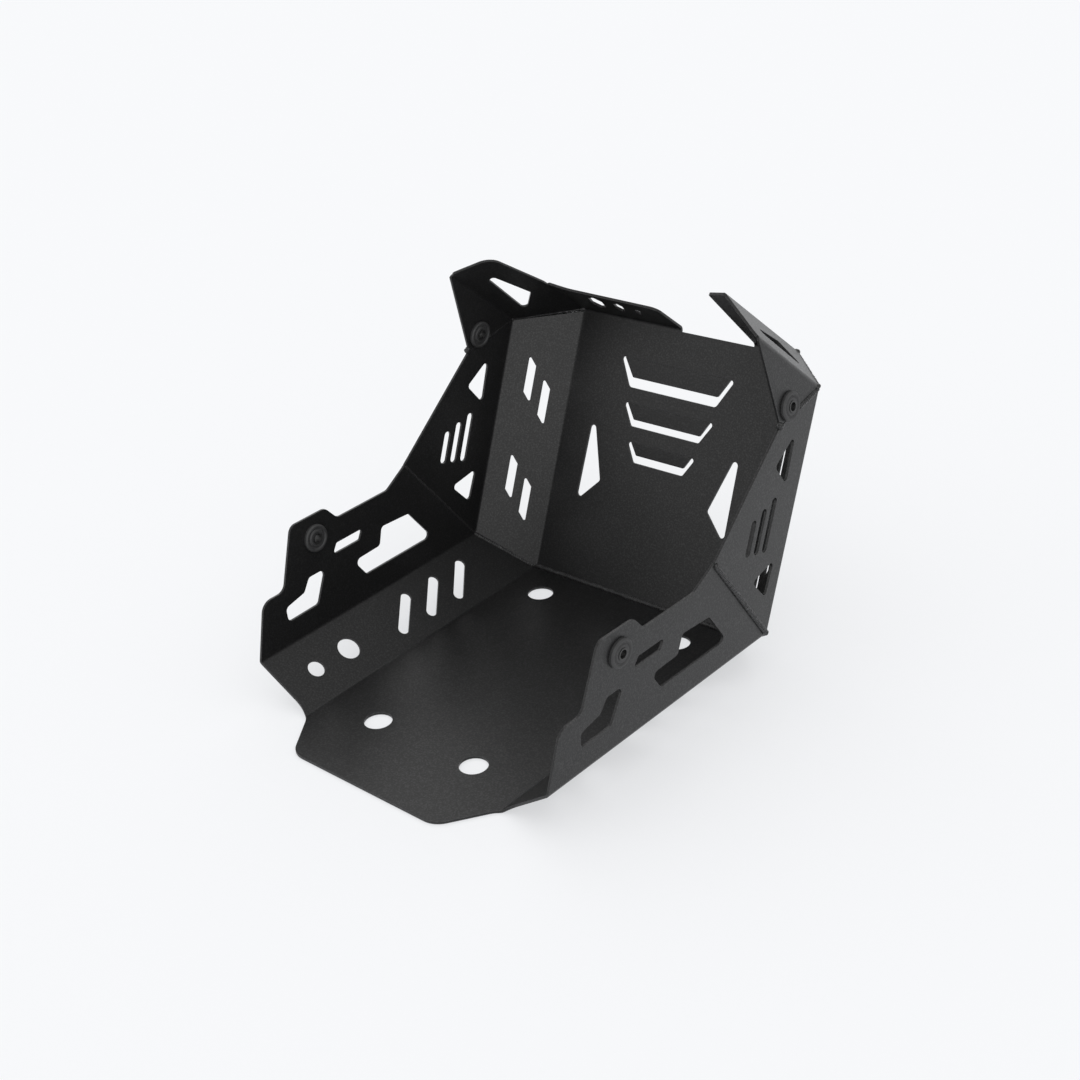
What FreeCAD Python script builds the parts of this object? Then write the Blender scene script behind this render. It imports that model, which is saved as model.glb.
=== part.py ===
import FreeCAD
import Part
import math
import os

# Engine guard: a folded lower tray and a folded front guard, welded edge to edge, hung on four rubber bushes.
# Lengths are in millimetres. While it is built, X is to the right, Y runs forward from the rear corner of
# the tray's side walls, and Z is up from the inner face of the floor.

# Sheet
SHEET = 2.0
BEND_RADIUS = 3.0
ROOT_GAP = 0.4
SEAM_GAP = 0.3

# Lower tray: inner faces, measured at the rear corner of its walls
FLOOR_HALF = 98.2
WALL_HALF = 141.2
CHAMFER_RISE = 32.0
TRAY_TAPER = 1.3
WALL_LEAN = 2.9
FLOOR_LENGTH = 272.5
TONGUE_LENGTH = 36.5
TONGUE_HALF = 70.5
TONGUE_RADIUS = 18.0
REAR_NECK_OUT = 1.3
REAR_NECK_Y = 4.5
REAR_NECK_RADIUS = 20.0

# Outline of the tray's walls, in Y and Z: rear step, lug, and the dip between lug and seam
REAR_STEP_Y = 13.5
REAR_STEP_Z = 76.2
REAR_STEP_LENGTH = 21.0
REAR_LUG_Y = 52.0
REAR_LUG_Z = 123.3
REAR_LUG_LENGTH = 36.0
DIP_RUN = 10.5
DIP_DEPTH = 12.3
DIP_END_RUN = 22.6
CORNER_RADIUS = 8.0
STEP_RADIUS = 11.0

# Seam between tray and front guard: its top corner, behind the foot of the front panel and up
SEAM_TOP_BACK = 95.9
SEAM_TOP_Z = 123.4

# Front guard: inner faces, and how they step from the tray's along the seam
FRONT_LEAN = 22.2
FRONT_INSET = 1.4
GUARD_STEP = 0.5
GUARD_FLARE = 1.7
FRONT_CHAMFER_DEPTH = 37.0
FRONT_TOP_Z = 208.5

# Top edges of the front walls, behind and below the top edge of the panel
WALL_TOP_BACK = 95.6
WALL_TOP_DROP = 14.5
WALL_FRONT_DROP = 4.5

# Wings and flanges folded back over the top of the front panel
FLANGE_RISE = 38.1
WING_TOP_BACK = 114.2
WING_TOP_RISE = 56.0
LEFT_FLANGE_FOLD = 54.7
LEFT_FLANGE_HEIGHT = 47.6
LEFT_FLANGE_END_HEIGHT = 41.8
LEFT_FLANGE_SHOULDER = 14.0
LEFT_FLANGE_END = 2.5
LEFT_FLANGE_RADIUS = 8.0
LEFT_PEAK_IN = 9.6
PEAK_RADIUS = 14.0
SHOULDER_RADIUS = 28.0
RIGHT_FLANGE_FOLD = 119.0
RIGHT_FLANGE_FOOT = 36.5
RIGHT_FLANGE_TIP = 17.0
RIGHT_FLANGE_TIP_HEIGHT = 112.5
TIP_RADIUS = 4.0

# Cut-outs of the walls
CUT_RADIUS = 4.0
SMALL_SLOT_RADIUS = 2.0
TRIANGLE_RADIUS = 3.0
SLOT_TIP_RADIUS = 1.0

# Corners of the cut-outs of the tray's walls, in Y and Z
BOOMERANG = [(33.0, 50.5), (33.0, 62.5), (53.0, 66.5), (60.0, 76.3), (77.5, 76.3), (64.5, 51.0)]
SMALL_SLOT = [(87.5, 83.6), (93.0, 91.5), (121.5, 91.5), (116.5, 83.6)]
LARGE_CUT = [(118.0, 52.5), (107.0, 68.7), (136.5, 69.6), (141.5, 84.2), (172.5, 82.4), (194.5, 52.4)]

# Corners of the cut-outs of the front walls, ahead of and above the panel's top edge and its foot
UPPER_TRIANGLE = [(-73.6, -27.5), (-101.6, -44.0), (-86.6, -63.5)]
LOWER_TRIANGLE = [(-17.0, 90.0), (-47.0, 84.6), (-29.0, 64.0)]

# Three vent slots in each front wall, behind and above the middle of the panel
VENT_BACK = 79.0
VENT_RISE = 17.3
VENT_WIDTH = 6.5
VENT_LENGTH = 34.0
VENT_SHORTER = 7.0
VENT_PITCH = 12.5

# Floor and tray chamfer openings
HOLE_DIAMETER = 21.2
REAR_HOLE_X = 48.2
REAR_HOLE_Y = 27.7
FRONT_HOLE_X = 70.4
FRONT_HOLE_BACK = 33.0
LARGE_CHAMFER_HOLE = 18.4
LARGE_CHAMFER_HOLE_Y = 72.0
SMALL_CHAMFER_HOLE = 13.6
SMALL_CHAMFER_HOLE_Y = 37.2
CHAMFER_SLOT_Y = 135.5
CHAMFER_SLOT_PITCH = 33.2
CHAMFER_SLOT_COUNT = 3
CHAMFER_SLOT_LENGTH = 40.0
CHAMFER_SLOT_WIDTH = 8.9
CHAMFER_SLOT_SLANT = 43.0

# Openings of the front panel, as half width and height up the panel
PANEL_TRIANGLE = [(73.5, 147.0), (75.0, 66.5), (54.0, 88.5)]
LOUVRE_ARM_SLOT = 4.2
LOUVRE_PRESS = 7.0

# Louvres of the front panel: half width of the foot, height, slot, and how far its arms reach out and up
LOUVRES = [(43.0, 174.4, 8.0, 13.0, 19.5), (34.0, 142.1, 5.4, 11.0, 15.5), (24.8, 113.5, 6.0, 9.5, 13.0)]

# Slots of the front chamfers: distance from the front fold and height up the panel
FRONT_SLOTS = [(34.7, 159.0), (19.6, 141.9), (35.5, 74.2), (20.5, 56.6)]
FRONT_SLOT_LENGTH = 39.6
FRONT_SLOT_WIDTH = 6.7
FRONT_SLOT_POINT = 8.2

# Openings of the wings, from the front corner along the wing's lower edge and square to it
WING_TRIANGLE = [(81.7, 85.3), (42.2, 39.7), (48.1, 11.7)]
FLANGE_SLOTS = [(70.5, 28.0, 26.5, 12.0), (48.2, 27.0, 19.5, 7.5), (30.8, 24.3, 11.8, 4.6)]
FLANGE_SLOT_SLANT = 18.0

# Rubber bushes, placed from the rear lug's corner and the panel's top edge, and their steel sleeves
REAR_BUSH_RUN = 24.4
REAR_BUSH_DROP = 18.5
FRONT_BUSH_BACK = 82.9
FRONT_BUSH_DROP = 4.0
BUSH_FLANGE = 22.0
BUSH_FLANGE_THICK = 3.0
BUSH_NECK = 13.0
BUSH_EDGE = 1.0
BUSH_GROOVE_INNER = 12.6
BUSH_GROOVE_WIDTH = 2.4
BUSH_GROOVE_DEPTH = 0.9
SLEEVE_OUTER = 9.0
SLEEVE_BORE = 6.4
SLEEVE_PROUD = 0.5

# Weld beads
BEAD_RADIUS = 2.7
BEAD_OUT = 0.7
BEAD_TOP_END = 1.0
BEAD_FOOT_END = 2.0
WING_EDGE_BEAD_RADIUS = 1.8
WING_SEAM_BEAD_RADIUS = 2.2
TACK_RADIUS = 3.0

V = FreeCAD.Vector
X_AXIS = V(1, 0, 0)
Y_AXIS = V(0, 1, 0)
Z_AXIS = V(0, 0, 1)
MID_PLANE = V(0, 0, 0)
REACH = 2.0 * (FLOOR_LENGTH + TONGUE_LENGTH + WALL_HALF)
THROUGH = 4.0 * (SHEET + BEND_RADIUS)


# Outlines and plates

def corner_arc(before, corner, after, radius):
    """Start, middle and end of the arc that rounds one corner of an outline."""
    to_before = (before - corner).normalize()
    to_after = (after - corner).normalize()
    half = to_before.getAngle(to_after) / 2
    setback = radius / math.tan(half)
    start = corner + to_before * setback
    end = corner + to_after * setback
    centre = corner + (to_before + to_after).normalize() * (radius / math.sin(half))
    middle = centre + (corner - centre).normalize() * radius
    return start, middle, end


def outline(corners, radius=0.0):
    """Closed outline in the XY plane; a corner is (x, y) or (x, y, its own radius)."""
    points = [V(c[0], c[1], 0) for c in corners]
    radii = [c[2] if len(c) > 2 else radius for c in corners]
    count = len(points)
    edges = []
    ends = []
    for i in range(count):
        if radii[i] > 0:
            arc = corner_arc(points[i - 1], points[i], points[(i + 1) % count], radii[i])
            ends.append((arc[0], arc[2]))
            edges.append(Part.Arc(*arc).toShape())
        else:
            ends.append((points[i], points[i]))
    for i in range(count):
        start = ends[i][1]
        end = ends[(i + 1) % count][0]
        if start.distanceToPoint(end) > 1e-6:
            edges.append(Part.LineSegment(start, end).toShape())
    return Part.Wire(Part.__sortEdges__(edges))


def placed(shape, origin, along, across):
    """Move a shape from the XY plane to the plane of two directions through an origin."""
    u = V(along).normalize()
    n = u.cross(across).normalize()
    v = n.cross(u)
    matrix = FreeCAD.Matrix(u.x, v.x, n.x, origin.x, u.y, v.y, n.y, origin.y,
                            u.z, v.z, n.z, origin.z, 0, 0, 0, 1)
    copy = shape.copy()
    copy.Placement = FreeCAD.Placement(matrix).multiply(shape.Placement)
    return copy


def prism(wire, origin, along, across, low, high):
    """Solid between two levels over an outline drawn in the plane of two directions."""
    solid = Part.Face(wire).extrude(V(0, 0, high - low))
    solid.translate(V(0, 0, low))
    return placed(solid, origin, along, across)


def through_sides(corners, radius, origin=V(0, 0, 0)):
    """Cutter through both side walls, drawn in Y and Z from an origin in the middle plane."""
    return prism(outline(corners, radius), origin, Y_AXIS, Z_AXIS, -REACH, REACH)


def slot_outline(length, width, slant):
    """Round-ended slot about the origin, slanted from the Y direction towards X."""
    half = width / 2
    run = length / 2 - half
    corners = [V(half, -run, 0), V(half, run, 0), V(-half, run, 0), V(-half, -run, 0)]
    wire = Part.Wire([Part.LineSegment(corners[0], corners[1]).toShape(),
                      Part.Arc(corners[1], V(0, run + half, 0), corners[2]).toShape(),
                      Part.LineSegment(corners[2], corners[3]).toShape(),
                      Part.Arc(corners[3], V(0, -run - half, 0), corners[0]).toShape()])
    wire.rotate(V(0, 0, 0), Z_AXIS, -slant)
    return wire


def pointed_slot(length, width, point, slant):
    """Six-sided slot about the origin, slanted from the Y direction towards X."""
    half = width / 2
    end = length / 2
    wire = outline([(0, -end), (half, point - end), (half, end - point), (0, end), (-half, end - point),
                    (-half, point - end)], SLOT_TIP_RADIUS)
    wire.rotate(V(0, 0, 0), Z_AXIS, -slant)
    return wire


def slanted_slot(length, width, point):
    """Four-sided slot about the origin along the Y direction, with both ends cut on the slant."""
    half = width / 2
    end = length / 2
    return outline([(half, end), (-half, end - point), (-half, -end), (half, point - end)], SLOT_TIP_RADIUS)


def mirrored(shape):
    """The same shape on the other side of the middle plane."""
    return shape.mirror(MID_PLANE, X_AXIS)


def offset_corners(corners, distance):
    """Corners of an open line moved square to itself, to its right."""
    points = [V(c[0], c[1], 0) for c in corners]
    runs = [(b - a).normalize() for a, b in zip(points, points[1:])]
    sides = [V(r.y, -r.x, 0) for r in runs]
    moved = [points[0] + sides[0] * distance]
    for i in range(1, len(runs)):
        bisector = (sides[i - 1] + sides[i]).normalize()
        moved.append(points[i] + bisector * (distance / bisector.dot(sides[i])))
    moved.append(points[-1] + sides[-1] * distance)
    return [(p.x, p.y) for p in moved]


def folded_section(inner_corners):
    """Closed section of a folded sheet whose inner face follows the corners."""
    outer_corners = offset_corners(inner_corners, SHEET)
    last = len(inner_corners) - 1
    corners = []
    for i, (a, b) in enumerate(inner_corners):
        inner_turn = BEND_RADIUS if 0 < i < last else 0
        corners.append((a, b, inner_turn))
    for i in range(last, -1, -1):
        outer_turn = BEND_RADIUS + SHEET if 0 < i < last else 0
        corners.append((outer_corners[i][0], outer_corners[i][1], outer_turn))
    return outline(corners)


class Fold:
    """Fold line where the inner faces of two plates meet, with a constant inside radius."""

    def __init__(self, point, direction, into_first, into_second):
        self.point = point
        self.direction = V(direction).normalize()
        self.first = self.square(into_first)
        self.second = self.square(into_second)
        self.inside_angle = self.first.getAngle(self.second)
        self.setback = BEND_RADIUS / math.tan(self.inside_angle / 2)

    def square(self, vector):
        flat = vector - self.direction * vector.dot(self.direction)
        return flat.normalize()

    def outward(self, into, other):
        normal = self.direction.cross(into).normalize()
        return normal if normal.dot(other) < 0 else normal * -1

    def trim(self, plate, into, other):
        """Cut a plate back from the fold line to where its bend begins."""
        corners = [(-REACH, -REACH), (REACH, -REACH), (REACH, self.setback), (-REACH, self.setback)]
        return plate.cut(prism(outline(corners), self.point, self.direction, into, -THROUGH, THROUGH))

    def bend(self, start, end):
        """The bent strip between the two plates, over a stretch of the fold line."""
        outward = self.outward(self.first, self.second)
        towards = (self.first + self.second).normalize()
        axis = self.point + towards * (BEND_RADIUS / math.sin(self.inside_angle / 2))
        tangent = self.point + self.first * self.setback
        corners = [tangent + self.direction * start, tangent + self.direction * end]
        corners += [corners[1] + outward * SHEET, corners[0] + outward * SHEET]
        face = Part.Face(Part.makePolygon(corners + corners[:1]))
        turn = 180 - math.degrees(self.inside_angle)
        side = outward.cross(self.outward(self.second, self.first)).dot(self.direction)
        return face.revolve(axis, self.direction, math.copysign(turn, side))


# Shared lines of the two sheets

LEAN = math.radians(FRONT_LEAN)
UP_PANEL = V(0, math.sin(LEAN), math.cos(LEAN))
OUT_PANEL = V(0, math.cos(LEAN), -math.sin(LEAN))
PANEL_FOOT = V(0, FLOOR_LENGTH, 0)
PANEL_TOP = PANEL_FOOT + UP_PANEL * (FRONT_TOP_Z / math.cos(LEAN))
PANEL_MIDDLE = (PANEL_FOOT + PANEL_TOP) / 2
FRONT_CHAMFER_RUN = FRONT_CHAMFER_DEPTH / math.cos(LEAN)


def wall_fold_y(z):
    """Where the fold between front chamfer and front wall stands at a height."""
    return FLOOR_LENGTH - FRONT_CHAMFER_RUN + z * math.tan(LEAN)


SEAM_KNEE_Y = wall_fold_y(CHAMFER_RISE)
SEAM_TOP_Y = FLOOR_LENGTH - SEAM_TOP_BACK
TAPER = math.radians(TRAY_TAPER)
TRAY_FORWARD = V(math.sin(TAPER), math.cos(TAPER), 0)
TRAY_ACROSS = V(math.cos(TAPER), -math.sin(TAPER), 0)
WALL_SLOPE = math.tan(math.radians(WALL_LEAN))
OUT_TRAY_WALL = (TRAY_ACROSS - Z_AXIS * WALL_SLOPE).normalize()


def tray_x(half, y):
    """Half width of the tapered tray at a distance forward, for a line with this half width at the rear."""
    return half / math.cos(TAPER) + y * math.tan(TAPER)


FRONT_HALF = tray_x(FLOOR_HALF, FLOOR_LENGTH) - FRONT_INSET
GUARD_WALL_HALF = tray_x(WALL_HALF, SEAM_KNEE_Y) + GUARD_STEP
SEAM_FOOT = V(FRONT_HALF + FRONT_INSET / 2, FLOOR_LENGTH, 0)


def guard_wall_x(y, z):
    """Half width between the front guard's walls at a place seen from the side."""
    behind = (wall_fold_y(z) - y) * math.cos(LEAN)
    return GUARD_WALL_HALF + behind * math.tan(math.radians(GUARD_FLARE))


# Lower tray

def tray_local(x, y, z):
    """Point of the right half of the tray from its own tapered directions."""
    return TRAY_ACROSS * x + TRAY_FORWARD * y + Z_AXIS * z


def tray_wall_half(z):
    """Half width between the tray's leaning walls at a height, at their rear corner."""
    return WALL_HALF + (z - CHAMFER_RISE) * WALL_SLOPE


def tray_half():
    """Half floor, chamfer and wall in one folded strip along the tapered fold lines."""
    above = 2 * REAR_LUG_Z
    section = folded_section([(-FLOOR_HALF, 0), (FLOOR_HALF, 0), (WALL_HALF, CHAMFER_RISE),
                              (tray_wall_half(above), above)])
    strip = prism(section, V(0, 0, 0), TRAY_ACROSS, Z_AXIS, -REACH, REACH)
    side = Part.makeBox(REACH, 2 * REACH, 2 * REACH, V(0, -REACH, -REACH))
    return strip.common(side)


def tray_side_view():
    """Outline of the tray from the side: wall lugs, welded edge and floor."""
    below = -2 * SHEET
    lug_end = REAR_LUG_Y + REAR_LUG_LENGTH
    dip_z = REAR_LUG_Z - DIP_DEPTH
    corners = [(-REACH, below), (FLOOR_LENGTH, below), (FLOOR_LENGTH, 0), (SEAM_KNEE_Y, CHAMFER_RISE),
               (SEAM_TOP_Y, SEAM_TOP_Z), (SEAM_TOP_Y - DIP_END_RUN, dip_z, CORNER_RADIUS),
               (lug_end + DIP_RUN, dip_z, CORNER_RADIUS), (lug_end, REAR_LUG_Z, CORNER_RADIUS),
               (REAR_LUG_Y, REAR_LUG_Z, CORNER_RADIUS),
               (REAR_STEP_Y + REAR_STEP_LENGTH, REAR_STEP_Z, CORNER_RADIUS),
               (REAR_STEP_Y, REAR_STEP_Z, STEP_RADIUS), (0, CHAMFER_RISE), (-REACH, CHAMFER_RISE)]
    return through_sides(corners, 0)


def tray_plan():
    """Outline of the tray from above: rear tongue, neck and full width."""
    half = [(TONGUE_HALF, -TONGUE_LENGTH, TONGUE_RADIUS),
            (FLOOR_HALF + REAR_NECK_OUT, REAR_NECK_Y, REAR_NECK_RADIUS), (WALL_HALF + SHEET, 0), (REACH, 0),
            (REACH, REACH)]
    other = [(-c[0],) + c[1:] for c in reversed(half)]
    return prism(outline(half + other), V(0, 0, 0), X_AXIS, Y_AXIS, -REACH, REACH)


def chamfer_cutters():
    """Two round holes and slanted slots in the right tray chamfer."""
    across = (tray_local(WALL_HALF, 0, CHAMFER_RISE) - tray_local(FLOOR_HALF, 0, 0))
    middle = tray_local((FLOOR_HALF + WALL_HALF) / 2, 0, CHAMFER_RISE / 2)
    cutters = []
    holes = ((LARGE_CHAMFER_HOLE, LARGE_CHAMFER_HOLE_Y), (SMALL_CHAMFER_HOLE, SMALL_CHAMFER_HOLE_Y))
    for diameter, y in holes:
        wire = Part.Wire(Part.makeCircle(diameter / 2))
        cutters.append(prism(wire, middle + TRAY_FORWARD * y, across, TRAY_FORWARD, -THROUGH, THROUGH))
    for i in range(CHAMFER_SLOT_COUNT):
        wire = slot_outline(CHAMFER_SLOT_LENGTH, CHAMFER_SLOT_WIDTH, CHAMFER_SLOT_SLANT)
        place = middle + TRAY_FORWARD * (CHAMFER_SLOT_Y + i * CHAMFER_SLOT_PITCH)
        cutters.append(prism(wire, place, across, TRAY_FORWARD, -THROUGH, THROUGH))
    return cutters


def floor_cutters():
    """Drain and access holes of the floor, on the right."""
    holes = ((REAR_HOLE_X, REAR_HOLE_Y), (FRONT_HOLE_X, FLOOR_LENGTH - FRONT_HOLE_BACK))
    return [Part.makeCylinder(HOLE_DIAMETER / 2, 2 * THROUGH, V(x, y, -THROUGH)) for x, y in holes]


def bush_hole(point, outward):
    """Round hole in a sheet for the neck of a bush."""
    return Part.makeCylinder(BUSH_NECK / 2, 2 * THROUGH, point - outward * THROUGH, outward)


REAR_BUSH_Z = REAR_LUG_Z - REAR_BUSH_DROP
REAR_BUSH = tray_local(tray_wall_half(REAR_BUSH_Z), REAR_LUG_Y + REAR_BUSH_RUN, REAR_BUSH_Z)


def lower_tray():
    half = tray_half()
    sheet = half.fuse(mirrored(half)).removeSplitter()
    sheet = sheet.common(tray_side_view()).common(tray_plan())
    cutters = chamfer_cutters() + floor_cutters() + [bush_hole(REAR_BUSH, OUT_TRAY_WALL)]
    cutters += [mirrored(c) for c in cutters]
    cutters += [through_sides(c, CUT_RADIUS) for c in (BOOMERANG, LARGE_CUT)]
    cutters.append(through_sides(SMALL_SLOT, SMALL_SLOT_RADIUS))
    return sheet.cut(cutters)


# Front guard

def guard_body():
    """Front panel, two chamfers and two walls, folded along lines that lean with the panel."""
    front = FLOOR_LENGTH * math.cos(LEAN)
    wall = front - FRONT_CHAMFER_DEPTH
    flared = GUARD_WALL_HALF + (wall + REACH) * math.tan(math.radians(GUARD_FLARE))
    section = folded_section([(flared, -REACH), (GUARD_WALL_HALF, wall), (FRONT_HALF, front),
                              (-FRONT_HALF, front), (-GUARD_WALL_HALF, wall), (-flared, -REACH)])
    return prism(section, V(0, 0, 0), X_AXIS, OUT_PANEL, -REACH, REACH)


FRONT_CORNER = PANEL_TOP + X_AXIS * FRONT_HALF
WALL_FRONT_TOP_Z = FRONT_TOP_Z - WALL_FRONT_DROP
WALL_CORNER = V(GUARD_WALL_HALF, wall_fold_y(WALL_FRONT_TOP_Z), WALL_FRONT_TOP_Z)
WALL_TOP_Y = PANEL_TOP.y - WALL_TOP_BACK
WALL_TOP_Z = FRONT_TOP_Z - WALL_TOP_DROP
REAR_CORNER = V(guard_wall_x(WALL_TOP_Y, WALL_TOP_Z), WALL_TOP_Y, WALL_TOP_Z)
RISE = math.radians(FLANGE_RISE)
UP_FLANGE = V(0, -math.cos(RISE), math.sin(RISE))
WING_EDGE = (WALL_CORNER - FRONT_CORNER).normalize()
OUT_WING = UP_FLANGE.cross(WING_EDGE).normalize()
WING_UP = WING_EDGE.cross(OUT_WING).normalize()
WING_TOP_OUT = (WING_TOP_BACK * OUT_WING.y - WING_TOP_RISE * OUT_WING.z) / OUT_WING.x
WING_TOP = FRONT_CORNER + V(WING_TOP_OUT, -WING_TOP_BACK, WING_TOP_RISE)
OUT_SIDE = (WALL_CORNER - REAR_CORNER).cross(WING_TOP - REAR_CORNER).normalize()
FLANGE_FOLD = Fold(FRONT_CORNER, X_AXIS, UP_PANEL * -1, UP_FLANGE)
WING_FOLD = Fold(FRONT_CORNER, UP_FLANGE, X_AXIS * -1, WING_EDGE)
SIDE_FOLD = Fold(WALL_CORNER, WING_TOP - WALL_CORNER, WING_EDGE * -1, REAR_CORNER - WALL_CORNER)


def guard_side_view():
    """Outline of panel, chamfers and walls from the side, with the welded edges set back by the root gap."""
    seam = [(SEAM_TOP_Y, SEAM_TOP_Z), (SEAM_KNEE_Y, CHAMFER_RISE), (FLOOR_LENGTH, 0)]
    seam = offset_corners(seam, -ROOT_GAP)
    bend_start = FRONT_CORNER - UP_PANEL * FLANGE_FOLD.setback
    beyond = bend_start + OUT_PANEL * THROUGH
    top_wall = REAR_CORNER - Z_AXIS * ROOT_GAP
    top_fold = WALL_CORNER - Z_AXIS * SEAM_GAP
    corners = seam + [(FLOOR_LENGTH, ROOT_GAP), (REACH, ROOT_GAP), (REACH, beyond.z), (beyond.y, beyond.z),
                      (bend_start.y, bend_start.z), (top_fold.y, top_fold.z), (top_wall.y, top_wall.z)]
    return through_sides([c for c in corners if c != seam[-1]], 0)


def wing_corners(top):
    """Corners of a wing plate in its own plane, closed by the given top corners."""
    across = (WALL_CORNER - FRONT_CORNER).Length
    rear = ((WING_TOP - FRONT_CORNER).dot(WING_EDGE), (WING_TOP - FRONT_CORNER).dot(WING_UP), TIP_RADIUS)
    return [(0, 0), (across, 0), rear] + top


def along_fold(height):
    """Point on the fold between flange and wing, in the wing's plane."""
    return (UP_FLANGE.dot(WING_EDGE) * height, UP_FLANGE.dot(WING_UP) * height)


def left_peak():
    """Top corner of the left wing, on the line from its rear top to the full height of the right wing."""
    full = FRONT_CORNER + UP_FLANGE * RIGHT_FLANGE_FOLD
    share = (WING_TOP.x - FRONT_HALF - LEFT_PEAK_IN) / (WING_TOP.x - FRONT_HALF)
    peak = WING_TOP + (full - WING_TOP) * share - FRONT_CORNER
    return (peak.dot(WING_EDGE), peak.dot(WING_UP), PEAK_RADIUS)


def wing(top):
    """Slanted wing plate, side plate and the bends beside them, drawn for the right side."""
    plate = prism(outline(wing_corners(top)), FRONT_CORNER, WING_EDGE, WING_UP, -SHEET, 0)
    hole = outline(WING_TRIANGLE, TRIANGLE_RADIUS)
    triangle = prism(hole, FRONT_CORNER, WING_EDGE, WING_UP, -THROUGH, THROUGH)
    plate = WING_FOLD.trim(plate, WING_FOLD.second, WING_FOLD.first).cut(triangle)
    plate = SIDE_FOLD.trim(plate, SIDE_FOLD.first, SIDE_FOLD.second)
    edges = Part.makePolygon([WALL_CORNER, WING_TOP, REAR_CORNER, WALL_CORNER])
    side = Part.Face(edges).extrude(OUT_SIDE * SHEET)
    side = SIDE_FOLD.trim(side, SIDE_FOLD.second, SIDE_FOLD.first)
    length = (WING_TOP - WALL_CORNER).Length
    return [plate, side, SIDE_FOLD.bend(SHEET, length - SHEET)]


def flange(corners):
    """Plate folded back from the panel's top edge, drawn for the right side as X and height."""
    plate = prism(outline(corners), PANEL_TOP, X_AXIS, UP_FLANGE, -SHEET, 0)
    plate = FLANGE_FOLD.trim(plate, FLANGE_FOLD.second, FLANGE_FOLD.first)
    return WING_FOLD.trim(plate, WING_FOLD.first, WING_FOLD.second)


def right_top():
    """Narrow tall flange and full wing."""
    foot = FRONT_HALF - RIGHT_FLANGE_FOOT
    tip = FRONT_HALF - RIGHT_FLANGE_TIP
    plate = flange([(foot, 0), (FRONT_HALF, 0), (FRONT_HALF, RIGHT_FLANGE_FOLD),
                    (tip, RIGHT_FLANGE_TIP_HEIGHT, TIP_RADIUS)])
    pieces = wing([along_fold(RIGHT_FLANGE_FOLD)])
    pieces += [plate, FLANGE_FOLD.bend(-RIGHT_FLANGE_FOOT, -WING_FOLD.setback)]
    return pieces + [WING_FOLD.bend(FLANGE_FOLD.setback, RIGHT_FLANGE_FOLD)]


def flange_slots():
    """Three slanted slots of falling size in the long flange, drawn for the right side."""
    cutters = []
    for x, height, length, width in FLANGE_SLOTS:
        wire = pointed_slot(length, width, width / 2, -FLANGE_SLOT_SLANT)
        place = PANEL_TOP + X_AXIS * x + UP_FLANGE * height
        cutters.append(prism(wire, place, X_AXIS, UP_FLANGE, -THROUGH, THROUGH))
    return cutters


def left_top():
    """Low flange that reaches the middle and wing with a rounded peak."""
    shoulder = FRONT_HALF - LEFT_FLANGE_SHOULDER
    plate = flange([(LEFT_FLANGE_END, 0), (FRONT_HALF, 0), (FRONT_HALF, LEFT_FLANGE_FOLD),
                    (shoulder, LEFT_FLANGE_HEIGHT, SHOULDER_RADIUS),
                    (LEFT_FLANGE_END, LEFT_FLANGE_END_HEIGHT, LEFT_FLANGE_RADIUS)])
    pieces = wing([left_peak(), along_fold(LEFT_FLANGE_FOLD)])
    pieces += [plate.cut(flange_slots()), FLANGE_FOLD.bend(LEFT_FLANGE_END - FRONT_HALF, -WING_FOLD.setback)]
    pieces.append(WING_FOLD.bend(FLANGE_FOLD.setback, LEFT_FLANGE_FOLD))
    return [mirrored(p) for p in pieces]


def both_sides(half):
    """Corners of the right half followed by the same corners on the left."""
    return half + [(-c[0],) + c[1:] for c in reversed(half)]


def louvre(knee, height, slot, arm_out, arm_up):
    """Opening of one louvre, and the tongue above its slot, pressed forward about its upper edge."""
    top = height + arm_up
    foot = height - slot / 2
    lip = height + slot / 2
    opening = both_sides([(knee + arm_out, top, LOUVRE_ARM_SLOT / 2), (knee, foot, slot / 2)])
    tongue = both_sides([(knee + arm_out - LOUVRE_ARM_SLOT, top),
                         (knee - LOUVRE_ARM_SLOT / 4, lip, slot / 4)])
    cutter = prism(outline(opening), PANEL_FOOT, X_AXIS, UP_PANEL, -THROUGH, THROUGH)
    plate = prism(outline(tongue), PANEL_FOOT, X_AXIS, UP_PANEL, -SHEET, 0)
    hinge = PANEL_FOOT + UP_PANEL * top + OUT_PANEL * (SHEET / 2)
    plate.rotate(hinge, X_AXIS, LOUVRE_PRESS)
    return cutter, plate


def front_chamfer_cutters():
    """Slots with slanted ends in the right front chamfer."""
    across = X_AXIS * (GUARD_WALL_HALF - FRONT_HALF) - OUT_PANEL * FRONT_CHAMFER_DEPTH
    origin = PANEL_FOOT + X_AXIS * FRONT_HALF
    cutters = []
    for distance, height in FRONT_SLOTS:
        wire = slanted_slot(FRONT_SLOT_LENGTH, FRONT_SLOT_WIDTH, FRONT_SLOT_POINT)
        place = origin + V(across).normalize() * distance + UP_PANEL * height
        cutters.append(prism(wire, place, across, UP_PANEL, -THROUGH, THROUGH))
    return cutters


def vent_cutters():
    """Row of slanted slots in both front walls, shorter towards the rear."""
    cutters = []
    for i in (-1, 0, 1):
        length = VENT_LENGTH + i * VENT_SHORTER
        wire = slot_outline(length, VENT_WIDTH, FRONT_LEAN)
        place = PANEL_MIDDLE + Y_AXIS * (i * VENT_PITCH - VENT_BACK) + Z_AXIS * VENT_RISE
        cutters.append(prism(wire, place, Y_AXIS, Z_AXIS, -REACH, REACH))
    return cutters


def on_side(y, z):
    """Point of the right side plate's inner face at a place seen from the side."""
    away = V(0, y, z) - V(0, REAR_CORNER.y, REAR_CORNER.z)
    return V(REAR_CORNER.x - (away.y * OUT_SIDE.y + away.z * OUT_SIDE.z) / OUT_SIDE.x, y, z)


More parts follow.
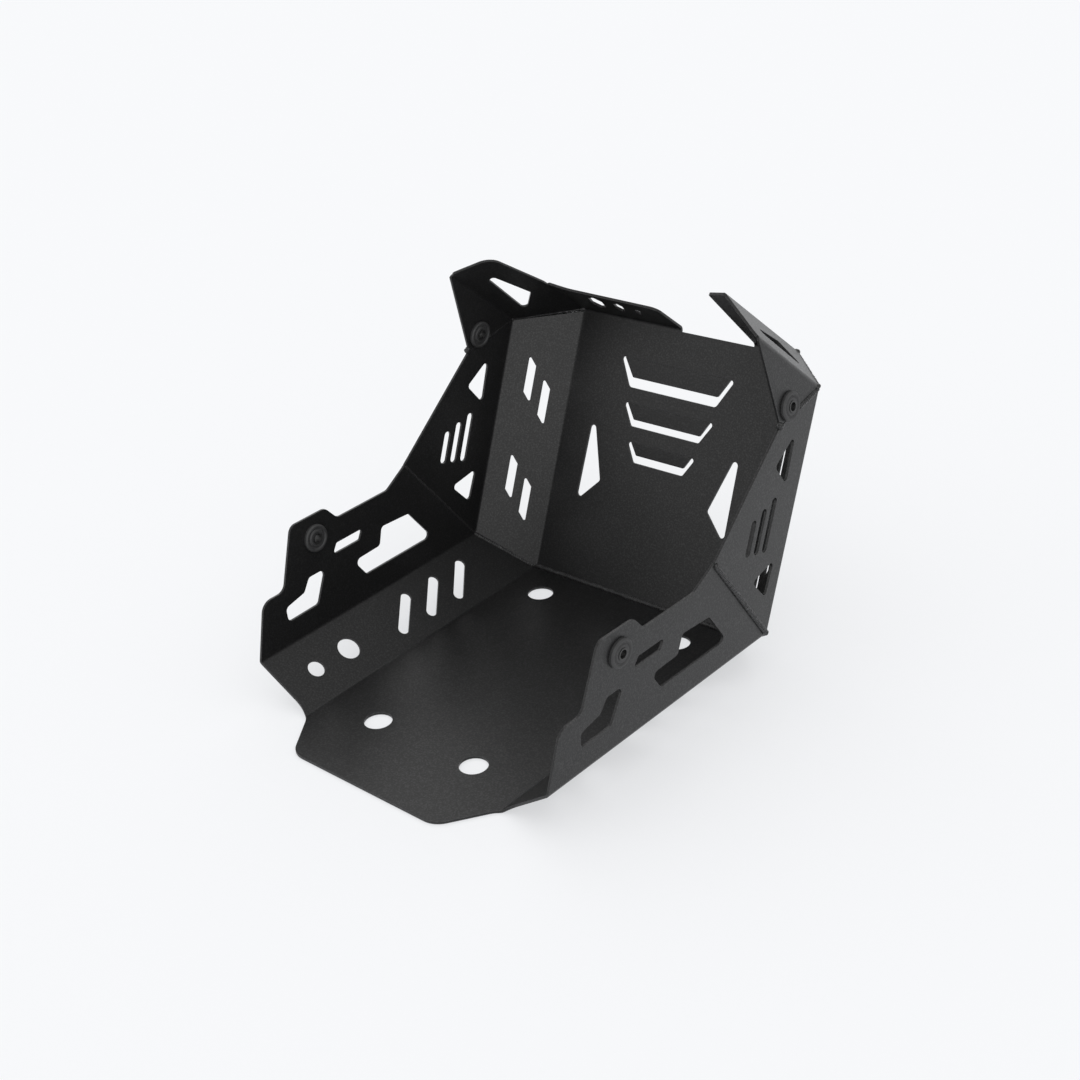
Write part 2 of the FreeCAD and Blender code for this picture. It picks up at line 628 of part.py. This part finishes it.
FRONT_BUSH = on_side(PANEL_TOP.y - FRONT_BUSH_BACK, FRONT_TOP_Z - FRONT_BUSH_DROP)


def front_guard():
    body = guard_body().common(guard_side_view())
    louvres = [louvre(*sizes) for sizes in LOUVRES]
    triangle = outline(PANEL_TRIANGLE, TRIANGLE_RADIUS)
    cutters = front_chamfer_cutters()
    cutters.append(prism(triangle, PANEL_FOOT, X_AXIS, UP_PANEL, -THROUGH, THROUGH))
    cutters += [mirrored(c) for c in cutters]
    cutters.append(through_sides(UPPER_TRIANGLE, TRIANGLE_RADIUS, PANEL_TOP))
    cutters.append(through_sides(LOWER_TRIANGLE, TRIANGLE_RADIUS, PANEL_FOOT))
    cutters += vent_cutters() + [cutter for cutter, _ in louvres]
    body = body.cut(cutters)
    sheet = body.fuse([plate for _, plate in louvres] + right_top() + left_top())
    hole = bush_hole(FRONT_BUSH, OUT_SIDE)
    return sheet.cut([hole, mirrored(hole)]).removeSplitter()


# Welds

OUT_CHAMFER = (X_AXIS * FRONT_CHAMFER_DEPTH + OUT_PANEL * (GUARD_WALL_HALF - FRONT_HALF)).normalize()


def rod(start, end, radius):
    """Round weld run between two points."""
    return Part.makeCylinder(radius, (end - start).Length, start, end - start)


def bead(filler, others):
    """What is left of a weld run outside the sheets that it joins and the pieces beside it."""
    rest = filler.cut(others)
    return max(rest.Solids, key=lambda solid: solid.Volume)


def floor_run():
    """Weld run between floor and front panel, flush with the underside and round at both ends."""
    end = V(SEAM_FOOT.x, SEAM_FOOT.y + SHEET / 2, BEAD_RADIUS - SHEET)
    other = V(-end.x, end.y, end.z)
    return rod(end, other, BEAD_RADIUS).fuse([Part.makeSphere(BEAD_RADIUS, p) for p in (end, other)])


def seam_runs():
    """Weld runs along the right-hand seam of the two sheets, a little outside the middle of the sheet."""
    out = SHEET / 2 + BEAD_OUT
    seam_top = V(guard_wall_x(SEAM_TOP_Y, SEAM_TOP_Z), SEAM_TOP_Y, SEAM_TOP_Z) + X_AXIS * out
    seam_knee = V(GUARD_WALL_HALF, SEAM_KNEE_Y, CHAMFER_RISE)
    tray_out = V(CHAMFER_RISE, 0, FLOOR_HALF - WALL_HALF).normalize()
    both_out = (tray_out + OUT_CHAMFER).normalize() * (SHEET / 2)
    knee = seam_knee + both_out
    foot = SEAM_FOOT + both_out
    foot += (knee - foot).normalize() * BEAD_FOOT_END
    wall_foot = seam_knee + X_AXIS * out
    wall_top = seam_top + (wall_foot - seam_top).normalize() * BEAD_TOP_END
    return {"chamfer_seam_weld": rod(knee, foot, BEAD_RADIUS).fuse(Part.makeSphere(BEAD_RADIUS, knee)),
            "wall_seam_weld": rod(wall_top, wall_foot, BEAD_RADIUS)}


def wing_runs():
    """Weld runs under the right wing and its side plate, and the tack at the rear end of the seam."""
    edge_out = (OUT_CHAMFER + OUT_WING).normalize() * (SHEET / 2)
    edge = (WALL_CORNER - FRONT_CORNER).normalize()
    edge_start = FRONT_CORNER + edge_out
    edge_end = WALL_CORNER + edge_out - edge * WING_EDGE_BEAD_RADIUS
    rounds = [Part.makeSphere(TACK_RADIUS, edge_start), Part.makeSphere(WING_EDGE_BEAD_RADIUS, edge_end)]
    side_out = (OUT_SIDE + X_AXIS).normalize() * (SHEET / 2 + BEAD_OUT)
    along = (REAR_CORNER - WALL_CORNER).normalize()
    side_start = WALL_CORNER + side_out + along * (BEND_RADIUS + SHEET)
    to_bush = (FRONT_BUSH - WALL_CORNER).dot(along) - BUSH_FLANGE / 2
    side_end = WALL_CORNER + side_out + along * to_bush
    return {"wing_edge_weld": rod(edge_start, edge_end, WING_EDGE_BEAD_RADIUS).fuse(rounds),
            "wing_seam_weld": rod(side_start, side_end, WING_SEAM_BEAD_RADIUS),
            "wing_tack": Part.makeSphere(TACK_RADIUS, REAR_CORNER + side_out)}


# Bushes

def turned(profile, point, axis):
    """Solid of revolution of a half section in radius and height, stood on an axis."""
    corners = [V(r, 0, h) for r, h in profile]
    face = Part.Face(Part.makePolygon(corners + corners[:1]))
    solid = face.revolve(V(0, 0, 0), Z_AXIS, 360)
    solid.Placement = FreeCAD.Placement(point, FreeCAD.Rotation(Z_AXIS, axis))
    return solid


def bush(point, outward):
    """Rubber bush: two flanges with a ring groove, and a neck in the sheet's hole."""
    bore = SLEEVE_OUTER / 2
    rim = BUSH_FLANGE / 2
    neck = BUSH_NECK / 2
    groove_in = BUSH_GROOVE_INNER / 2
    groove_out = groove_in + BUSH_GROOVE_WIDTH
    top = SHEET + BUSH_FLANGE_THICK
    low = -BUSH_FLANGE_THICK
    deep = BUSH_GROOVE_DEPTH
    profile = [(bore, low), (groove_in, low), (groove_in + deep, low + deep), (groove_out - deep, low + deep),
               (groove_out, low), (rim - BUSH_EDGE, low), (rim, low + BUSH_EDGE), (rim, 0), (neck, 0),
               (neck, SHEET), (rim, SHEET), (rim, top - BUSH_EDGE), (rim - BUSH_EDGE, top), (groove_out, top),
               (groove_out - deep, top - deep), (groove_in + deep, top - deep), (groove_in, top), (bore, top)]
    return turned(profile, point, outward)


def sleeve(point, outward):
    """Plain steel sleeve pressed in the bush."""
    low = -BUSH_FLANGE_THICK - SLEEVE_PROUD
    top = SHEET + BUSH_FLANGE_THICK + SLEEVE_PROUD
    inner = SLEEVE_BORE / 2
    outer = SLEEVE_OUTER / 2
    return turned([(inner, low), (outer, low), (outer, top), (inner, top)], point, outward)


# Assembly

def both(nodes, name, shape):
    """Store a right-hand piece and its mirror image."""
    nodes[name + "_right"] = shape
    nodes[name + "_left"] = mirrored(shape)


tray = lower_tray()
guard = front_guard()
nodes = {"lower_tray": tray, "front_guard": guard}
for place, point, outward in (("rear", REAR_BUSH, OUT_TRAY_WALL), ("front", FRONT_BUSH, OUT_SIDE)):
    both(nodes, place + "_bush", bush(point, outward).cut([tray, guard]))
    both(nodes, place + "_sleeve", sleeve(point, outward))
nodes["floor_seam_weld"] = bead(floor_run(), [tray, guard])
beside = [tray, guard, nodes["floor_seam_weld"], nodes["front_bush_right"]]
for name, filler in {**seam_runs(), **wing_runs()}.items():
    piece = bead(filler, beside)
    beside.append(piece)
    both(nodes, name, piece)

box = FreeCAD.BoundBox()
for shape in nodes.values():
    box.add(shape.BoundBox)
to_origin = V(0, -box.Center.y, -box.ZMin)
os.makedirs("parts", exist_ok=True)
for name, shape in nodes.items():
    shape.translate(to_origin)
    shape.exportStep("parts/" + name + ".step")
    print(name, len(shape.Solids), shape.isValid(), round(shape.Volume))
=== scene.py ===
import bpy
import math
import numpy as np
from mathutils import Matrix, Vector


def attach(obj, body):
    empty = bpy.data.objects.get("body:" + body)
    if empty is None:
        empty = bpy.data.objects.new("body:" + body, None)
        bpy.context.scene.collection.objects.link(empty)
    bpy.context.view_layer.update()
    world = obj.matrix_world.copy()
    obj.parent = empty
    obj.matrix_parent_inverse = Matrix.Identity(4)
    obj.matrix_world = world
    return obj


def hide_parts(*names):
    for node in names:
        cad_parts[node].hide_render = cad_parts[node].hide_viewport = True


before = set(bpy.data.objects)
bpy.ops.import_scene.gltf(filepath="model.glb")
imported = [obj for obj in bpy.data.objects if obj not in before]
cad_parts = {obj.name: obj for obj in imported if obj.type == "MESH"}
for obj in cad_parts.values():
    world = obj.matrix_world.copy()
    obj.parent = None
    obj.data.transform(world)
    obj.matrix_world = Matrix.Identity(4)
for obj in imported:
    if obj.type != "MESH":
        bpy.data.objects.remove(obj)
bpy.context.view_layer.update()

# Lower tray: one sheet of 2 mm steel, laser cut, folded into floor, chamfers and walls.
# It is powder coated matt black all over. The coat draws thin and slightly shiny over the cut edges, and
# their rounded rims are also painted lighter, a painted highlight along the edges.


class Value:
    """A shader socket that takes part in sums."""

    def __init__(self, finish, socket):
        self.finish = finish
        self.socket = socket

    def sum(self, operation, first, second):
        return self.finish.node("ShaderNodeMath", {"operation": operation}, {0: first, 1: second})

    def __add__(self, other):
        return self.sum("ADD", self, other)

    def __radd__(self, other):
        return self.sum("ADD", other, self)

    def __sub__(self, other):
        return self.sum("SUBTRACT", self, other)

    def __rsub__(self, other):
        return self.sum("SUBTRACT", other, self)

    def __mul__(self, other):
        return self.sum("MULTIPLY", self, other)

    def __rmul__(self, other):
        return self.sum("MULTIPLY", other, self)


class Finish:
    """One surface finish: its material, and the nodes that vary it over the surface."""

    def __init__(self, name):
        self.material = bpy.data.materials.new(name)
        self.material.use_nodes = True
        self.tree = self.material.node_tree

    def plug(self, node, sockets):
        for key, value in sockets.items():
            if isinstance(value, Value):
                self.tree.links.new(value.socket, node.inputs[key])
            else:
                node.inputs[key].default_value = value

    def node(self, kind, settings, sockets, out=0):
        made = self.tree.nodes.new(kind)
        for key, value in settings.items():
            setattr(made, key, value)
        self.plug(made, sockets)
        return Value(self, made.outputs[out])

    def place(self):
        return self.node("ShaderNodeTexCoord", {}, {}, "Object")

    def noise(self, place, scale, detail, roughness=0.5):
        return self.node("ShaderNodeTexNoise", {}, {"Vector": place, "Scale": scale, "Detail": detail,
                                                    "Roughness": roughness})

    def between(self, value, low, high):
        """Nought below one level, one above another, and smooth between them."""
        return self.node("ShaderNodeMapRange", {"interpolation_type": "SMOOTHSTEP"},
                         {"Value": value, "From Min": low, "From Max": high})

    def mix(self, share, first, second):
        return self.node("ShaderNodeMix", {"data_type": "RGBA"}, {0: share, 6: first, 7: second}, 2)

    def bump(self, height, depth):
        return self.node("ShaderNodeBump", {}, {"Height": height, "Distance": depth})

    def shell(self, sockets):
        self.plug(self.tree.nodes["Principled BSDF"], sockets)
        return self.material


def powder_coat(name, dark, pale, matt, relief):
    """Fine-grained powder coat with faint smears of dust and handling."""
    coat = Finish(name)
    place = coat.place()
    grain = coat.noise(place, scale=800.0, detail=2.0, roughness=0.6)
    orange_peel = coat.noise(place, scale=380.0, detail=1.0)
    cloud = coat.noise(place, scale=14.0, detail=4.0, roughness=0.55)
    smears = coat.noise(place, scale=55.0, detail=6.0, roughness=0.7)
    scratches = coat.noise(place, scale=260.0, detail=5.0, roughness=0.65)
    rubbed = coat.between(smears, low=0.58, high=0.74)
    specks = coat.between(grain, low=0.42, high=0.72)
    scuffs = coat.between(scratches, low=0.62, high=0.72) * coat.between(cloud, low=0.52, high=0.64)
    share = 0.3 * cloud + 0.35 * specks + 0.2 * rubbed + 0.5 * scuffs
    height = grain * 0.7 + orange_peel * 0.3
    return coat.shell({"Base Color": coat.mix(share, dark, pale),
                       "Roughness": matt + 0.1 * cloud - 0.08 * rubbed,
                       "Normal": coat.bump(height, relief),
                       "Specular IOR Level": 0.3,
                       "Coat Weight": 0.1 + 0.25 * specks,
                       "Coat Roughness": 0.3})


SHEET_COAT = powder_coat("sheet_coat", dark=(0.0065, 0.0065, 0.0067, 1), pale=(0.022, 0.022, 0.0225, 1),
                         matt=0.36, relief=0.00008)
# Coat for the sheets' rounded rims: lighter than the sheet coat, partly the coat drawn thin there and
# partly a painted highlight along the edges.
EDGE_COAT_AND_HIGHLIGHT = powder_coat("edge_coat_and_highlight", dark=(0.022, 0.022, 0.0225, 1), pale=(0.06, 0.06, 0.061, 1),
                        matt=0.28, relief=0.00004)
SAME_POINT = 0.000002
SAME_PLANE = math.radians(0.3)
SMOOTH_BELOW = math.radians(35)
EDGE_STEPS = 2
FLAT_WEIGHT = 100


def rounded(node, name, width, coats, angle):
    """Copy of a solid with its edges rounded where they turn by more than an angle, under the last coat (on
    the sheets a lighter coat, a painted highlight along the edges).
    """
    piece = bpy.data.objects.new(name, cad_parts[node].data.copy())
    bpy.context.collection.objects.link(piece)
    bpy.ops.object.select_all(action="DESELECT")
    bpy.context.view_layer.objects.active = piece
    piece.select_set(True)
    bpy.ops.object.mode_set(mode="EDIT")
    bpy.ops.mesh.select_all(action="SELECT")
    bpy.ops.mesh.customdata_custom_splitnormals_clear()
    bpy.ops.mesh.remove_doubles(threshold=SAME_POINT)
    bpy.ops.mesh.dissolve_limited(angle_limit=SAME_PLANE)
    bpy.ops.mesh.quads_convert_to_tris(quad_method="BEAUTY", ngon_method="BEAUTY")
    bpy.ops.object.mode_set(mode="OBJECT")
    piece.data.materials.clear()
    for coat in coats:
        piece.data.materials.append(coat)
    edge = piece.modifiers.new("edge", "BEVEL")
    edge.width = width
    edge.segments = EDGE_STEPS
    edge.limit_method = "ANGLE"
    edge.angle_limit = math.radians(angle)
    edge.use_clamp_overlap = False
    edge.loop_slide = False
    # The rounded faces take the last coat; on the sheets that is the lighter one, which paints a highlight
    # along the edges.
    edge.material = len(coats) - 1
    bpy.ops.object.modifier_apply(modifier="edge")
    bpy.ops.object.shade_smooth_by_angle(angle=SMOOTH_BELOW)
    flat = piece.modifiers.new("flat", "WEIGHTED_NORMAL")
    flat.keep_sharp = True
    flat.weight = FLAT_WEIGHT
    bpy.ops.object.modifier_apply(modifier="flat")
    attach(piece, "root")
    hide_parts(node)
    return piece


SHEET_EDGE = 0.00025
SHEET_EDGE_ANGLE = 60
tray = rounded("lower_tray", "tray_sheet", SHEET_EDGE, [SHEET_COAT, EDGE_COAT_AND_HIGHLIGHT], SHEET_EDGE_ANGLE)

# Front guard: a second sheet of the same steel, folded into panel, chamfers, walls, flanges and wings.
# Its louvres are cut on three sides and pressed forward, and it is coated together with the tray.
guard = rounded("front_guard", "guard_sheet", SHEET_EDGE, [SHEET_COAT, EDGE_COAT_AND_HIGHLIGHT], SHEET_EDGE_ANGLE)

# Weld beads: steel runs laid by hand from pool to pool along the seams, with thicker pools at both corners
# of each wing and a tack at its rear. They are coated together with the sheets, and their ripples show.
WELD_COAT = powder_coat("weld_coat", dark=(0.01, 0.01, 0.0103, 1), pale=(0.04, 0.04, 0.041, 1),
                        matt=0.28, relief=0.00006)
POOL_LENGTH = 0.62
POOL_PITCH = 0.0019
POOL_LAP = 0.85
POOL_SEGMENTS = 24
POOL_RINGS = 12
BEAD_GRAIN = 0.00032
SPATTER = bpy.data.textures.new("spatter", "CLOUDS")
SPATTER.noise_scale = 0.0022
SPATTER_DEPTH = 0.0008
SPATTER_LEVEL = 0.75
SETTLE_PASSES = 2
ACROSS_RUN = 0.05


def run_of(node, radius):
    """Start and end of the middle line of a bead, from its outer end to its inner one."""
    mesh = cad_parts[node].data
    normals = np.array([face.normal for face in mesh.polygons])
    centres = np.array([face.center for face in mesh.polygons])
    areas = np.array([face.area for face in mesh.polygons])
    along = np.linalg.svd(normals * np.sqrt(areas)[:, None], full_matrices=False)[2][2]
    round_faces = np.abs(normals @ along) < ACROSS_RUN
    middle = np.median((centres - radius * normals)[round_faces], axis=0)
    reach = (np.array([v.co for v in mesh.vertices]) - middle) @ along
    ends = [Vector(middle + along * reach.min()), Vector(middle + along * reach.max())]
    return sorted(ends, key=lambda point: -abs(point.x))


def pool(radius, place, turn, length):
    """One weld pool, with its length along the run as a share of its width."""
    bpy.ops.object.select_all(action="DESELECT")
    bpy.ops.mesh.primitive_uv_sphere_add(segments=POOL_SEGMENTS, ring_count=POOL_RINGS, radius=radius,
                                         location=place, rotation=turn, scale=(1, 1, length))
    return bpy.context.object


def melt(bead, step, kind, **settings):
    """Apply one modifier to a bead."""
    bpy.context.view_layer.objects.active = bead
    change = bead.modifiers.new(step, kind)
    for key, value in settings.items():
        setattr(change, key, value)
    bpy.ops.object.modifier_apply(modifier=step)


def weld_bead(node, radius, corners=()):
    """Row of overlapping weld pools, melted into one rippled bead.

    Each corner is a thicker pool: the end it is at, its radius, and how far past that end its middle lies.
    """
    start, end = run_of(node, radius)
    run = end - start
    turn = run.to_track_quat("Z", "Y").to_euler()
    half = max(radius * POOL_LENGTH, POOL_PITCH * POOL_LAP)
    count = max(1, round((run.length - 2 * half) / POOL_PITCH) + 1)
    pitch = (run.length - 2 * half) / max(1, count - 1)
    bead = pool(radius, start + run.normalized() * half, turn, half / radius)
    bead.name = node + "_bead"
    bpy.ops.object.transform_apply(location=False, rotation=False, scale=True)
    melt(bead, "row", "ARRAY", count=count, use_relative_offset=False, use_constant_offset=True,
         constant_offset_displace=(0, 0, pitch))
    bpy.ops.object.transform_apply(location=True, rotation=True, scale=True)
    tips = {"outer": (start, -run.normalized()), "inner": (end, run.normalized())}
    for tip, size, past in corners:
        point, outward = tips[tip]
        corner = pool(size, point + outward * past, turn, 1)
        bpy.ops.object.transform_apply(location=True, rotation=True, scale=True)
        bead.select_set(True)
        corner.select_set(True)
        bpy.context.view_layer.objects.active = bead
        bpy.ops.object.join()
    melt(bead, "flow", "REMESH", mode="VOXEL", voxel_size=BEAD_GRAIN, use_smooth_shade=True)
    melt(bead, "ripple", "DISPLACE", texture=SPATTER, strength=SPATTER_DEPTH, mid_level=SPATTER_LEVEL)
    melt(bead, "settle", "SMOOTH", iterations=SETTLE_PASSES)
    bead.data.materials.append(WELD_COAT)
    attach(bead, "root")
    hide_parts(node)


SEAM_POOL = 0.0026
WING_SEAM_POOL = 0.0022
WING_EDGE_POOL = 0.0019
WING_CORNER_POOL = 0.0021
WING_CORNER_REACH = 0.0025
TACK_POOL = 0.003
weld_bead("floor_seam_weld", SEAM_POOL)
for side in ("left", "right"):
    weld_bead("chamfer_seam_weld_" + side, SEAM_POOL)
    weld_bead("wall_seam_weld_" + side, SEAM_POOL)
    weld_bead("wing_edge_weld_" + side, WING_EDGE_POOL,
              [("outer", WING_CORNER_POOL, 0.0), ("inner", TACK_POOL, -TACK_POOL)])
    weld_bead("wing_seam_weld_" + side, WING_SEAM_POOL, [("inner", WING_CORNER_POOL, WING_CORNER_REACH)])
    weld_bead("wing_tack_" + side, TACK_POOL)

# Bushes: black rubber grommets, moulded with a ring groove in both flanges, pushed into the sheet's holes.
# The rubber is matt, with a bloom of grey on it.


def moulded_rubber(name, black, grey, relief):
    """Matt rubber with a fine skin and patches of bloom."""
    rubber = Finish(name)
    place = rubber.place()
    skin = rubber.noise(place, scale=900.0, detail=3.0, roughness=0.6)
    bloom = rubber.noise(place, scale=160.0, detail=4.0, roughness=0.6)
    return rubber.shell({"Base Color": rubber.mix(bloom, black, grey),
                         "Roughness": 0.5 + 0.2 * bloom,
                         "Normal": rubber.bump(skin, relief)})


BUSH_RUBBER = moulded_rubber("bush_rubber", black=(0.016, 0.016, 0.0165, 1), grey=(0.05, 0.05, 0.051, 1),
                             relief=0.00008)
BUSH_EDGE = 0.0002
BUSH_EDGE_ANGLE = 25
for end in ("rear", "front"):
    for side in ("left", "right"):
        bush = rounded(end + "_bush_" + side, end + "_grommet_" + side, BUSH_EDGE, [BUSH_RUBBER],
                       BUSH_EDGE_ANGLE)

# Sleeves: short pieces of dark steel tube, turned to length with their edges broken.
# Each is pressed into a bush, so that a bolt can be drawn up tight without crushing the rubber.


def turned_steel(name, dark, pale):
    """Bare steel with fine tool marks."""
    steel = Finish(name)
    marks = steel.noise(steel.place(), scale=1500.0, detail=2.0)
    return steel.shell({"Base Color": steel.mix(marks, dark, pale),
                        "Metallic": 1.0,
                        "Roughness": 0.4 + 0.2 * marks})


SLEEVE_STEEL = turned_steel("sleeve_steel", dark=(0.04, 0.04, 0.04, 1), pale=(0.13, 0.13, 0.13, 1))
SLEEVE_EDGE = 0.00015
SLEEVE_EDGE_ANGLE = 40
for end in ("rear", "front"):
    for side in ("left", "right"):
        sleeve = rounded(end + "_sleeve_" + side, end + "_tube_" + side, SLEEVE_EDGE, [SLEEVE_STEEL],
                         SLEEVE_EDGE_ANGLE)

# Studio: a wide sheet of white paper under even light from all round, with lit screens overhead, behind the
# camera, on its left and in front. The paper runs out past the picture on every side.
PAPER_WIDTH = 30.0
PAPER_DROP = 0.0005
PAPER_WHITE = (0.93, 0.939, 0.956, 1)
PAPER_GLOW = 0.6
SKY_WHITE = (1, 1, 1, 1)
SKY_STRENGTH = 0.77
bpy.ops.object.select_all(action="DESELECT")
bpy.ops.mesh.primitive_plane_add(size=PAPER_WIDTH, location=(0, 0, -PAPER_DROP))
ground = bpy.context.object
ground.name = "ground"
paper = Finish("paper")
paper.shell({"Base Color": PAPER_WHITE, "Roughness": 0.9, "Specular IOR Level": 0.0})
rays = [paper.node("ShaderNodeLightPath", {}, {}, "Is " + kind + " Ray")
        for kind in ("Camera", "Glossy", "Transmission")]
glow = paper.node("ShaderNodeEmission", {}, {"Color": PAPER_WHITE, "Strength": 1.0})
lit = Value(paper, paper.tree.nodes["Principled BSDF"].outputs[0])
glowing = PAPER_GLOW * (rays[0] + rays[1] + rays[2])
seen = paper.node("ShaderNodeMixShader", {}, {0: glowing, 1: lit, 2: glow})
paper.plug(paper.tree.nodes["Material Output"], {"Surface": seen})
ground.data.materials.append(paper.material)

sky = bpy.data.worlds.new("studio")
sky.use_nodes = True
sky.node_tree.nodes["Background"].inputs["Color"].default_value = SKY_WHITE
sky.node_tree.nodes["Background"].inputs["Strength"].default_value = SKY_STRENGTH
bpy.context.scene.world = sky


def soft_light(name, towards, width, strength):
    """Far light from one direction, as wide as a large screen seen from the object, in degrees."""
    light = bpy.data.objects.new(name, bpy.data.lights.new(name, "SUN"))
    light.data.angle = math.radians(width)
    light.data.energy = strength
    light.rotation_euler = Vector(towards).to_track_quat("Z", "Y").to_euler()
    bpy.context.collection.objects.link(light)


soft_light("overhead_screen", towards=(0.15, -0.1, 1.0), width=70, strength=0.36)
soft_light("rear_screen", towards=(0.66, -0.745, 0.3), width=50, strength=0.64)
soft_light("left_screen", towards=(-0.6, -0.79, 0.2), width=50, strength=0.22)
soft_light("front_screen", towards=(-0.6, 0.65, 0.5), width=60, strength=0.45)

# Camera: it stands behind the guard on its right, above it, and looks down into the tray.
# It is held slightly off level, and everything in the picture is sharp.
LOOK_AT = Vector((0.0, 0.00508, 0.10468))
DISTANCE = 1.1308
AZIMUTH = math.radians(42.57)
ELEVATION = math.radians(27.57)
ROLL = math.radians(-4.60)
SENSOR = 36.0
LENS = 50.26
NEAREST = 0.05
FARTHEST = 60.0
back = Vector((math.sin(AZIMUTH) * math.cos(ELEVATION), -math.cos(AZIMUTH) * math.cos(ELEVATION),
               math.sin(ELEVATION)))
camera = bpy.data.objects.new("camera", bpy.data.cameras.new("camera"))
camera.data.sensor_width = SENSOR
camera.data.lens = LENS
camera.data.clip_start = NEAREST
camera.data.clip_end = FARTHEST
turn = (-back).to_track_quat("-Z", "Y").to_matrix().to_4x4() @ Matrix.Rotation(ROLL, 4, "Z")
camera.matrix_world = Matrix.Translation(LOOK_AT + back * DISTANCE) @ turn
bpy.context.collection.objects.link(camera)
bpy.context.scene.camera = camera
bpy.context.scene.view_settings.view_transform = "Standard"
